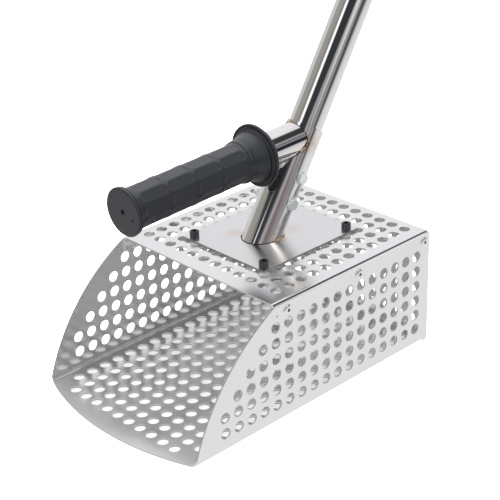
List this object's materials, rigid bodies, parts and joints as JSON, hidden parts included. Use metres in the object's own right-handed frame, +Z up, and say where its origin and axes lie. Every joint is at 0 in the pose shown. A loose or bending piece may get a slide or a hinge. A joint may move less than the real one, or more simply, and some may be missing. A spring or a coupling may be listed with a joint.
{
  "type": "beach sand scoop",
  "caption": "Perforated stainless steel sand scoop with a covered rear, a socketed sloping pole and a forward rubber-gripped cross handle.",
  "frame": {"origin": "on the underside of the floor, midway between the side walls, below the foot of the handle socket", "axes": "+X to the side that the socket bolt heads are on, +Y from the digging lip to the rear wall, +Z up from the floor to the cover"},
  "size_m": [0.1608, 0.6597, 0.8686],
  "materials": {
    "floor_sheet": "satin stainless sheet",
    "side_sheet": "satin stainless sheet",
    "cover_sheet": "satin stainless sheet with a soft sheen",
    "plate_steel": "satin stainless plate with darker cut edges",
    "polished_tube": "bright polished stainless tube",
    "weld_metal": "weld bead with straw-coloured heat tint",
    "rivet_steel": "bright rivet head",
    "rivet_mandrel": "dull dark steel",
    "black_screw": "black oxide",
    "zinc_fastener": "bright zinc plate",
    "black_plastic": "matt black moulding",
    "grip_rubber": "matt charcoal rubber"
  },
  "bodies": {
    "root": {"floor_panel": "floor_sheet", "right_side_panel": "side_sheet", "left_side_panel": "side_sheet", "rear_panel": "side_sheet", "rear_corner_welds": "weld_metal", "top_panel": "cover_sheet", "cover_flanges": "cover_sheet", "rivet_bodies": "rivet_steel", "rivet_mandrels": "rivet_mandrel", "mounting_plate": "plate_steel", "plate_screws": "black_screw", "plate_washers": "zinc_fastener", "plate_nuts": "zinc_fastener", "socket_tube": "polished_tube", "socket_weld": "weld_metal", "pole_tube": "polished_tube", "pole_end_plug": "black_plastic", "socket_bolts": "zinc_fastener", "bolt_nuts": "zinc_fastener", "cross_tube": "polished_tube", "cross_weld": "weld_metal", "rubber_grip": "grip_rubber"}
  },
  "joints": []
}
